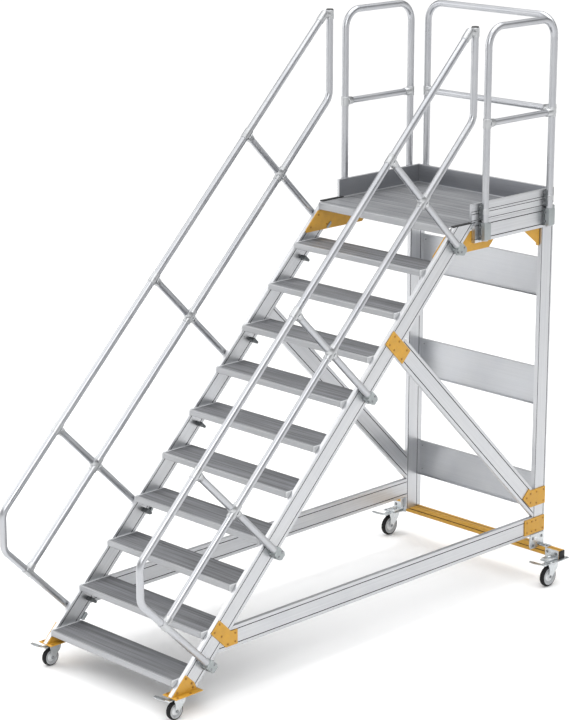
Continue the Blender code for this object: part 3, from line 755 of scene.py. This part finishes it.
def brackets():
    rear = POST_Y[1]
    brace = slope_outline([(2.175, 0.0355), (2.175, 0.226), (2.267, 0.226), (2.267, 0.0355)])
    brace_bolts = slope_outline([(s, p) for p in (0.062, 0.112, 0.200) for s in (2.192, 2.250)])
    rail = slope_outline([(0.3165, 0.0355), (0.402, 0.0355)])
    rail += [(0.3915, 0.385), (0.438, 0.385), (0.438, 0.303), (0.3526, 0.303)]
    rail_bolts = slope_outline([(0.335, 0.050), (0.386, 0.050), (0.345, 0.110)])
    rail_bolts += [(0.420, 0.368), (0.420, 0.320), (0.366, 0.318)]
    upper = [(2.777, 0.541), (2.844, 0.474), (rear, 0.474), (rear, 0.580), (2.845, 0.580), (2.831, 0.594)]
    upper_bolts = [(2.810, 0.541), (2.846, 0.505), (2.846, 0.560)] + grid((2.900, 2.965), (0.492, 0.562))
    lower = [(2.800, 0.302), (rear, 0.302), (rear, 0.400), (2.800, 0.400)]
    lower_bolts = grid((2.820, 2.864, 2.900, 2.965), (0.320, 0.382))
    top = [(1.972, 2.1225), (2.445, 2.1225), (2.495, 2.172), (2.495, 2.240), (2.070, 2.240), (1.972, 2.142)]
    top_bolts = [(2.010, 2.150), (2.145, 2.150)] + grid((2.075, 2.200, 2.330, 2.450), (2.215,))
    for tag, sign in SIDES:
        x = span(sign, *PLATE)
        inner = span(sign, HALF - 0.0063, HALF - GAP)
        gusset("gusset_brace_" + tag, brace, x, brace_bolts, sign, ["brace_gusset_" + tag])
        gusset("gusset_rail_" + tag, rail, x, rail_bolts, sign, ["rail_gusset_" + tag])
        gusset("gusset_post_upper_" + tag, upper, x, upper_bolts, sign)
        gusset("gusset_post_lower_" + tag, lower, x, lower_bolts, sign)
        gusset("bracket_top_" + tag, top, inner, top_bolts, -sign, ["top_bracket_" + tag])
        knee_bracket(tag, sign)


def beam_section():
    """Square beam with one groove in the middle of each face, as (y, z, mark)."""
    (front, rear), (low, high) = BEAM_Y, BEAM_Z
    half, d, r = 0.0055 / 2, 0.006, 0.0018
    cy, cz = sum(BEAM_Y) / 2, sum(BEAM_Z) / 2
    return [(front + r, low, 0), (cy - half, low, 1), (cy - half, low + d, 1), (cy + half, low + d, 1),
            (cy + half, low, 0), (rear - r, low, 0), (rear, low + r, 0), (rear, cz - half, 1),
            (rear - d, cz - half, 1), (rear - d, cz + half, 1), (rear, cz + half, 0), (rear, high - r, 0),
            (rear - r, high, 0), (cy + half, high, 1), (cy + half, high - d, 1), (cy - half, high - d, 1),
            (cy - half, high, 0), (front + r, high, 0), (front, high - r, 0), (front, cz + half, 1),
            (front + d, cz + half, 1), (front + d, cz - half, 1), (front, cz - half, 0), (front, low + r, 0)]


def beam_metal(bm, sign):
    """Castor plate with its upright, and the angle that holds the post."""
    front, top = BEAM_Y[0], BEAM_Z[1]
    side = OUTER + 0.0053
    block(bm, span(sign, 0.566, 0.667), (front - 0.005, front + 0.0005), (0.1497, top + 0.002), 0.0012)
    block(bm, span(sign, 0.590, 0.690), (2.874, 3.030), (0.1490, BEAM_Z[0] + 0.0004), 0.0012)
    block(bm, span(sign, OUTER + GAP, side), (2.858, 2.982), (top + GAP, 0.296), 0.0012)
    block(bm, span(sign, OUTER + GAP, OUTER + 0.050), (2.957, 3.003), (top + 0.0002, top + 0.005), 0.0012)


def beam_bolts(bm, sign):
    for x in (0.583, 0.650):
        bolt(bm, at(sign * x, BEAM_Y[0] - 0.005, 0.186), -Y, 0.0065)
    for x, y in ((0.600, 2.890), (0.680, 2.890), (0.680, 3.018), (0.600, 3.018)):
        bolt(bm, at(sign * x, y, BEAM_Z[0] + 0.0002), Z, 0.005)
    for y, z in ((2.880, 0.225), (2.880, 0.270), (2.935, 0.225), (2.960, 0.270)):
        bolt(bm, at(sign * (OUTER + 0.0053), y, z), X * sign, 0.0065)
    for x in (0.5415, 0.562):
        bolt(bm, at(sign * x, 2.970, BEAM_Z[1] + 0.005), Z, 0.005)


def beam():
    end = BEAM_HALF - 0.004
    points = beam_section()
    bm = bmesh.new()
    cross_bar(bm, [(y, z) for y, z, _ in points], end, [mark for _, _, mark in points])
    # The groove faces take the near-black ochre, which is painted shade in the grooves.
    piece("beam_bar", bm, ("ochre", "ochre_shade"), "frame", ["outrigger_beam"])
    caps, metal, screws = bmesh.new(), bmesh.new(), bmesh.new()
    cap_y, cap_z = ((low - GAP, high + GAP) for low, high in (BEAM_Y, BEAM_Z))
    for _, sign in SIDES:
        block(caps, span(sign, end, BEAM_HALF), cap_y, cap_z, 0.0018)
        beam_metal(metal, sign)
        beam_bolts(screws, sign)
    fitting("beam_caps", caps, "cap")
    fitting("beam_mounts", metal, "zinc")
    fitting("beam_bolts", screws, "bolt")


def front_feet():
    x0, wheel_y, _, offset, head = CASTORS["front"]
    y = wheel_y + offset
    outside = [(-0.030, 0.132), (0.0665, 0.2335), (0.127, 0.174), (0.143, 0.132)]
    inside = [(-0.030, 0.132), (0.000, 0.165), (0.110, 0.165), (0.143, 0.132)]
    base_top, square = 0.1338, 0.042
    for tag, sign in SIDES:
        bm = bmesh.new()
        block(bm, span(sign, 0.455, 0.560), (-0.033, 0.157), (0.128, base_top), 0.0015)
        plate(bm, outside, span(sign, *PLATE), [0.003, 0.010, 0.010, 0.003], 0.0007)
        plate(bm, inside, span(sign, HALF - 0.0063, HALF - GAP), 0.004, 0.0007)
        piece("foot_" + tag, bm, ("ochre",), "frame", ["front_foot_" + tag])
        top = bmesh.new()
        x = span(sign, x0 - square, x0 + square)
        block(top, x, (y - 0.052, y + 0.052), (head + 0.0004, 0.1278), 0.0012)
        fitting("foot_plate_" + tag, top, "zinc")
        screws = bmesh.new()
        for dy, dz in ((0.004, 0.152), (0.114, 0.152), (0.066, 0.212), (0.106, 0.176)):
            bolt(screws, at(sign * PLATE[1], dy, dz), X * sign, 0.005)
        for dx, dy in grid((0.468, 0.5465), (-0.012, 0.080)):
            bolt(screws, at(sign * dx, dy, base_top), Z, 0.0055)
        fitting("foot_bolts_" + tag, screws, "ochre_bolt")


# ---------------------------------------------------------------- rails

def meeting(perp, y):
    """Height at which a rail that runs square to the slope by perp reaches y."""
    return y - 2 * perp * C45 + RISE


def clamp(bm, screws, sign, along):
    """Clamp block round a rail post, its plate on the stringer and its hook below."""
    body = slope_outline([(-0.027, 0.092), (0.027, 0.092), (0.028, 0.142), (0.017, 0.159), (-0.017, 0.159),
                          (-0.028, 0.142)], along)
    plate(bm, body, span(sign, OUTER + GAP, RAIL_X + 0.0222), 0.006, 0.0035)
    backing = slope_outline([(-0.021, 0.060), (0.021, 0.060), (0.021, 0.094), (-0.021, 0.094)], along)
    plate(bm, backing, span(sign, OUTER + GAP, OUTER + 0.006), 0.003, 0.001)
    hook = slope_outline([(-0.026, 0.1515), (0.026, 0.1515), (0.020, 0.166), (-0.020, 0.166)], along)
    plate(bm, hook, span(sign, HALF - 0.012, OUTER + 0.004), 0.004, 0.0015)
    x = sign * RAIL_X
    sleeve(bm, on_slope(x, along, 0.100), on_slope(x, along, 0.084), 0.0222, 0.0212)
    for a in (-0.019, 0.019):
        bolt(screws, on_slope(sign * (RAIL_X + 0.0215), along + a * 0.8, 0.125), X * sign, 0.0052)
    for dx in (0.008, 0.034):
        bolt(screws, on_slope(sign * (OUTER + dx), along + 0.0275, 0.118), SLOPE, 0.005)
        bolt(screws, on_slope(sign * (OUTER + dx), along - 0.0275, 0.118), -SLOPE, 0.005)


def saddle(bm, centre, rail_dir, neck_dirs, length=0.030, neck=0.048):
    """Fitting where one tube meets another: a barrel round the rail and tapered necks along the other."""
    sleeve(bm, centre - rail_dir * length, centre + rail_dir * length, 0.0236)
    for way in neck_dirs:
        sleeve(bm, centre + way * 0.012, centre + way * neck, 0.0262, 0.0226)


def tube(name, bm, node):
    piece(name, bm, ("tube",), "frame", [node], sharp=40)


def rail_tubes(tag, x, end_y):
    low_z = 2 * STATIONS[0] * C45 - FOOT_Y + RISE
    points = [on_slope(x, STATIONS[0], 0.095), at(x, FOOT_Y, low_z), at(x, FOOT_Y, meeting(HAND_P, FOOT_Y)),
              at(x, end_y, meeting(HAND_P, end_y))]
    bm = bmesh.new()
    sweep(bm, rounded_path(points, 0.085), TUBE_R)
    tube("handrail_tube_" + tag, bm, "handrail_" + tag)
    points = [on_slope(x, STATIONS[0] + 0.018, MID_P), at(x, TOP_Y, meeting(MID_P, TOP_Y))]
    points.append(at(x, TOP_Y, 3.390))
    bm = bmesh.new()
    sweep(bm, rounded_path(points, 0.10), TUBE_R)
    for along in STATIONS[1:]:
        sweep(bm, [on_slope(x, along, 0.095), on_slope(x, along, HAND_P + 0.012)], TUBE_R - 0.0004)
    tube("mid_rail_tube_" + tag, bm, "mid_rail_" + tag)


def rail_joints(bm, x, end_y):
    saddle(bm, on_slope(x, STATIONS[0], MID_P), -DOWN, [SLOPE])
    for along in STATIONS[1:]:
        saddle(bm, on_slope(x, along, HAND_P), SLOPE, [DOWN], length=0.032)
        saddle(bm, on_slope(x, along, MID_P), SLOPE, [DOWN, -DOWN], length=0.044, neck=0.040)
    elbow = at(x, end_y, meeting(HAND_P, end_y))
    sleeve(bm, at(x, TOP_Y, 3.3360), at(x, TOP_Y, 3.3893), 0.0234)
    sleeve(bm, elbow - SLOPE * 0.070, elbow - SLOPE * 0.006, 0.0232)
    sleeve(bm, elbow - SLOPE * 0.016, at(x, TOP_Y - 0.004, 3.3620), 0.0222, 0.0205)


def rails():
    end_y = TOP_Y - 0.036
    for tag, sign in SIDES:
        x = sign * RAIL_X
        rail_tubes(tag, x, end_y)
        clamps, screws, joints, cap = (bmesh.new() for _ in range(4))
        for along in STATIONS:
            clamp(clamps, screws, sign, along)
        rail_joints(joints, x, end_y)
        dome = [(0.0205, 0), (0.0205, 0.0035), (0.018, 0.0055), (0.004, 0.0058)]
        turned(cap, dome, at(x, TOP_Y, 3.3893), Z)
        fitting("rail_clamps_" + tag, clamps, "cast")
        fitting("rail_bolts_" + tag, screws, "bolt")
        fitting("rail_joints_" + tag, joints, "joint", 40)
        fitting("rail_cap_" + tag, cap, "cap")


def leg_fittings(clamps, dark, leg, sign):
    """Clamp, its backing and the toe-board collar at one guard-rail leg. sign is 0 on the rear hoop."""
    x, y = leg

    def leg_block(bm, half, near, far, z, bevel, segments=2):
        if sign:
            block(bm, span(sign, OUTER + near, far), (y - half, y + half), z, bevel, segments)
        else:
            block(bm, (x - half, x + half), (FRAME_REAR + near, far), z, bevel, segments)

    axis, reach, face = (GUARD_X, 0.0268, OUTER) if sign else (GUARD_BACK_Y, 0.0205, FRAME_REAR)
    leg_block(clamps, 0.0262, 0.0125, axis + reach, (FRAME_LOW + 0.016, FRAME_TOP - 0.004), 0.006, 3)
    leg_block(dark, 0.029, GAP, face + 0.0128, (FRAME_LOW + 0.014, FRAME_TOP - 0.002), 0.002)
    leg_block(dark, 0.027, GAP, axis + 0.004, (FRAME_TOP + 0.010, TOE_TOP - 0.004), 0.003)


def leg_bolts(bm, leg, sign):
    """Bolts in the edges of a leg's collar and clamp: both edges on the sides, the inner one at the rear."""
    x, y = leg
    collar, body = (2.318, 2.347, 2.376), (2.212, 2.262)
    if sign:
        near, far = sign * (OUTER + 0.009), sign * (OUTER + 0.018)
        ends = [(at(near, y - 0.027, z), -Y) for z in collar]
        ends += [(at(far, y - 0.0262, z), -Y) for z in body]
        ends += [(at(near, y + 0.027, z), Y) for z in collar]
    else:
        way = 1 if x < 0 else -1
        ends = [(at(x + way * 0.027, FRAME_REAR + 0.009, z), X * way) for z in collar]
        ends += [(at(x + way * 0.0262, FRAME_REAR + 0.018, z), X * way) for z in body]
    for point, axis in ends:
        bolt(bm, point, axis, 0.005, height=0.006)


def hoop(name, a, b, side, sign):
    """One guard-rail hoop with knee rail, tee joints, frame clamps and toe-board collars."""
    low = FRAME_LOW + 0.010
    bm = bmesh.new()
    path = [at(*a, low), at(*a, GUARD_TOP), at(*b, GUARD_TOP), at(*b, low)]
    sweep(bm, rounded_path(path, 0.11, 12), TUBE_R, side)
    tube("hoop_" + name, bm, "guard_rail_" + name)
    run = (at(*b, 0) - at(*a, 0)).normalized()
    bm = bmesh.new()
    sweep(bm, [at(*a, KNEE_Z) + run * 0.018, at(*b, KNEE_Z) - run * 0.018], TUBE_R - 0.001, side)
    tube("knee_tube_" + name, bm, "knee_rail_" + name)
    joints, clamps, dark, screws = (bmesh.new() for _ in range(4))
    for leg, way in ((a, run), (b, -run)):
        saddle(joints, at(*leg, KNEE_Z), Z, [way], length=0.027, neck=0.055)
    for leg in (a, b):
        leg_fittings(clamps, dark, leg, sign)
        leg_bolts(screws, leg, sign)
        sleeve(joints, at(*leg, 2.333), at(*leg, 2.364), 0.0228)
    fitting("knee_joints_" + name, joints, "joint", 40)
    fitting("hoop_clamps_" + name, clamps, "cast")
    fitting("hoop_brackets_" + name, dark, "dark_cast")
    fitting("hoop_bolts_" + name, screws, "bolt")


def hoops():
    for tag, sign in SIDES:
        x = sign * GUARD_X
        hoop(tag, (x, GUARD_Y[0]), (x, GUARD_Y[1]), X, sign)
    hoop("rear", (-GUARD_BACK_X, GUARD_BACK_Y), (GUARD_BACK_X, GUARD_BACK_Y), Y, 0)


# ---------------------------------------------------------------- castors

def wheel(key, hub, r):
    """Grey centre with stepped rings, and a black tyre round it."""
    face = 0.0148
    seat = (r * 0.83, face + 0.0002)
    centre = [(0.0071, 0.0158), (0.0125, 0.0158), (0.0135, 0.0150), (0.0150, 0.0105), (r * 0.40, 0.0090),
              (r * 0.44, 0.0100), (r * 0.47, 0.0104), (r * 0.50, 0.0090), (r * 0.66, 0.0084),
              (r * 0.70, 0.0098), (r * 0.735, 0.0128), (r * 0.76, face), seat]
    tyre = [(r * 0.87, face + 0.0004), (r * 0.93, 0.0138), (r * 0.965, 0.0122), (r * 0.985, 0.0098),
            (r * 0.996, 0.0062), (r - 0.0001, 0.0044), (r * 0.985, 0.0040), (r * 0.985, 0.0030),
            (r - 0.0001, 0.0026)]
    profile = centre + tyre
    profile += [(radius, -height) for radius, height in reversed(profile)]
    marks = [0] * 7 + [1] * 5 + [2] * len(tyre)
    marks += [2] + marks[::-1] + [0]
    bm = bmesh.new()
    turned_ring(bm, profile, hub, X, 56, marks)
    piece("wheel_body_" + key, bm, ("wheel", "rim", "tyre"), "roller_" + key, ["wheel_" + key])


def fork(key, x, wheel_y, r, offset, head):
    top = head - 0.002
    k = r / 0.05
    front, rear = wheel_y - 0.016, wheel_y + offset + 0.026
    outline = [(wheel_y - 0.013, r - 0.002), (wheel_y - 0.006, r - 0.012), (wheel_y + 0.006, r - 0.012),
               (wheel_y + 0.013, r - 0.004), (rear - 0.006, top - 0.032 * k), (rear, top - 0.018),
               (rear, top), (front, top), (front, top - 0.014 * k), (wheel_y - 0.010, top - 0.030 * k)]
    outer = FORK_LEG + 0.003
    bm = bmesh.new()
    for side in (-1, 1):
        plate(bm, outline, tuple(sorted((x + side * FORK_LEG, x + side * outer))), 0.008, 0.0006)
    block(bm, (x - outer, x + outer), (front, rear), (top - 0.0045, top), 0.0016)
    swivel = at(x, wheel_y + offset, 0)
    race = [(0.020, head - 0.0075), (0.029, head - 0.0065), (0.0300, head - 0.0040), (0.0300, head - 0.0012),
            (0.0285, head - 0.0002)]
    turned(bm, race, swivel, Z, 40)
    turned(bm, [(0.012, top - 0.0105), (0.014, top - 0.010), (0.014, top - 0.004)], swivel, Z, 6)
    piece("fork_body_" + key, bm, ("zinc",), "swivel_" + key, ["fork_" + key])


def axle(key, hub):
    bm = bmesh.new()
    for side in (X * -1, X):
        bolt(bm, hub + side * (FORK_LEG + 0.003), side, 0.0062, height=0.0045)
        sleeve(bm, hub + side * 0.0160, hub + side * (FORK_LEG + 0.0005), 0.0085)
    piece("axle_" + key, bm, ("bolt",), "swivel_" + key)


def pedal(key, x, wheel_y, top):
    """Brake pedal: a stem in the fork, a flat tread beside it and a raised lip at its end."""
    y0 = wheel_y - 0.062
    bm = bmesh.new()
    block(bm, (x - 0.024, x + 0.012), (y0 + 0.016, wheel_y - 0.0166), (top - 0.012, top - 0.004), 0.002)
    flat = [(x - 0.102, y0 + 0.004), (x - 0.060, y0), (x - 0.014, y0 + 0.010)]
    flat += [(x - 0.014, y0 + 0.034), (x - 0.060, y0 + 0.030), (x - 0.102, y0 + 0.026)]
    loop = [at(a, b, 0) for a, b in rounded(flat, 0.006)]
    bar(bm, loop, Z, level(top - 0.0095), level(top - 0.0065))
    block(bm, (x - 0.1015, x - 0.0975), (y0 + 0.007, y0 + 0.023), (top - 0.0090, top - 0.0035), 0.0012)
    piece("pedal_body_" + key, bm, ("zinc",), "brake_" + key, ["pedal_" + key])


def castor(end, tag, sign):
    x0, wheel_y, r, offset, head = CASTORS[end]
    key = "%s_%s" % (end, tag)
    hub = at(sign * x0, wheel_y, r)
    wheel(key, hub, r)
    fork(key, hub.x, wheel_y, r, offset, head)
    axle(key, hub)
    pedal(key, hub.x, wheel_y, head - 0.002)


def castor_housings():
    """Clamp housings above the rear castors, fixed to the beam."""
    head = CASTORS["rear"][4]
    y = (2.8755, 2.9495)
    for tag, sign in SIDES:
        bm = bmesh.new()
        block(bm, span(sign, 0.598, 0.660), y, (head + 0.008, head + 0.020), 0.003)
        for x in (0.614, 0.645):
            bolt(bm, at(sign * x, y[0], head + 0.014), -Y, 0.0052)
        turned(bm, [(0.016, 0), (0.016, 0.010), (0.013, 0.014)], at(sign * 0.628, 2.912, head + 0.019), Z, 6)
        fitting("castor_housing_" + tag, bm, "zinc")


# ---------------------------------------------------------------- studio

def show(name, data):
    obj = bpy.data.objects.new(name, data)
    obj.rotation_mode = "QUATERNION"
    bpy.context.scene.collection.objects.link(obj)
    return obj


def camera():
    cam = bpy.data.cameras.new("camera")
    cam.sensor_width = 36
    cam.lens = 2351.65 * 36 / 720
    cam.clip_start = 0.1
    cam.clip_end = 200
    obj = show("camera", cam)
    az, el = math.radians(45.2713), math.radians(15.461)
    back = Vector((math.sin(az) * math.cos(el), -math.cos(az) * math.cos(el), math.sin(el)))
    obj.location = (8.921, -8.905, 5.055)
    obj.rotation_quaternion = (-back).to_track_quat("-Z", "Y")
    bpy.context.scene.camera = obj


def surroundings():
    """Grey world whose brightness changes with height, so that the metal has something to reflect."""
    world = bpy.data.worlds.new("studio")
    world.use_nodes = True
    tree = world.node_tree
    coord = tree.nodes.new("ShaderNodeTexCoord")
    split = tree.nodes.new("ShaderNodeSeparateXYZ")
    ramp = tree.nodes.new("ShaderNodeValToRGB")
    tree.links.new(coord.outputs["Generated"], split.inputs[0])
    tree.links.new(split.outputs["Z"], ramp.inputs["Fac"])
    stops = ((0.0, 1.05), (0.10, 1.0), (0.22, 0.35), (0.45, 0.28), (0.70, 1.35), (1.0, 1.6))
    elements = ramp.color_ramp.elements
    for i, (place, grey) in enumerate(stops):
        stop = elements[i] if i < 2 else elements.new(place)
        stop.position = place
        stop.color = (grey, grey, grey, 1)
    background = tree.nodes["Background"]
    tree.links.new(ramp.outputs["Color"], background.inputs["Color"])
    background.inputs["Strength"].default_value = 1.0
    bpy.context.scene.world = world
    bpy.context.scene.view_settings.view_transform = "Standard"


def floor():
    bm = bmesh.new()
    bmesh.ops.create_grid(bm, x_segments=4, y_segments=4, size=60)
    mesh = bpy.data.meshes.new("floor")
    bm.to_mesh(mesh)
    bm.free()
    n = Nodes("pale_floor", 0.0, 0.9, 0.1)
    cloud = n.noise(n.coord, 1.5, 3.0)
    mesh.materials.append(n.out(n.ramp(cloud, ((0.97, 0.97, 0.97), (0.99, 0.99, 0.99)), (0.3, 0.7))))
    show("floor", mesh)


def lamps():
    middle = Vector((0, 0, 1.5))
    lights = (("key", (5.5, -6.5, 7.5), 300), ("fill", (-6.5, -3.5, 5.0), 190), ("top", (0, 1.5, 9.5), 260))
    for name, place, power in lights:
        light = bpy.data.lights.new(name, "AREA")
        light.energy = power
        light.size = 6.0
        lamp = show(name, light)
        lamp.location = place
        lamp.rotation_quaternion = (middle - Vector(place)).to_track_quat("-Z", "Y")


stair()
stringers()
deck()
platform_frame()
rear_frame()
brackets()
beam()
front_feet()
rails()
hoops()
for side_tag, side_sign in SIDES:
    for which in CASTORS:
        castor(which, side_tag, side_sign)
castor_housings()
camera()
surroundings()
floor()
lamps()

bpy.context.view_layer.update()
